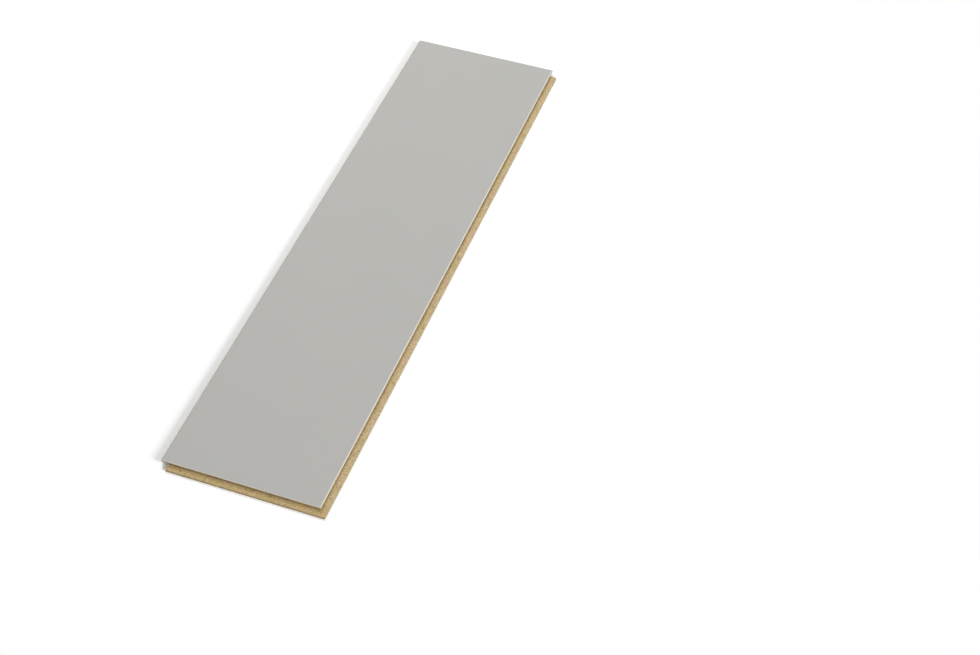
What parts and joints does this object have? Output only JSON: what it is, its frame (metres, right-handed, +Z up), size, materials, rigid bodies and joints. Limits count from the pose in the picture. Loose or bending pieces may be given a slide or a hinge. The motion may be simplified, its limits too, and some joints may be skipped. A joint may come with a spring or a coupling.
{
  "type": "tongue-and-groove chipboard lining panel",
  "caption": "Long flat chipboard lining panel with a pale grey painted face, a groove and back lip on one side and one end, and a tongue over a rebate on the others.",
  "frame": {"origin": "the middle of the panel's whole outline, on the plane of its back", "axes": "+X along the length from the grooved end to the tongued end, +Y across the width from the grooved side to the tongued side, +Z up out of the painted face"},
  "size_m": [1.214, 0.314, 0.012],
  "materials": {
    "chipboard": "raw sawn and moulded chipboard, matt, with fine chips in tan, straw and brown",
    "face_paint": "smooth factory paint, pale warm grey, matt"
  },
  "bodies": {
    "root": {"panel": "chipboard"}
  },
  "joints": []
}
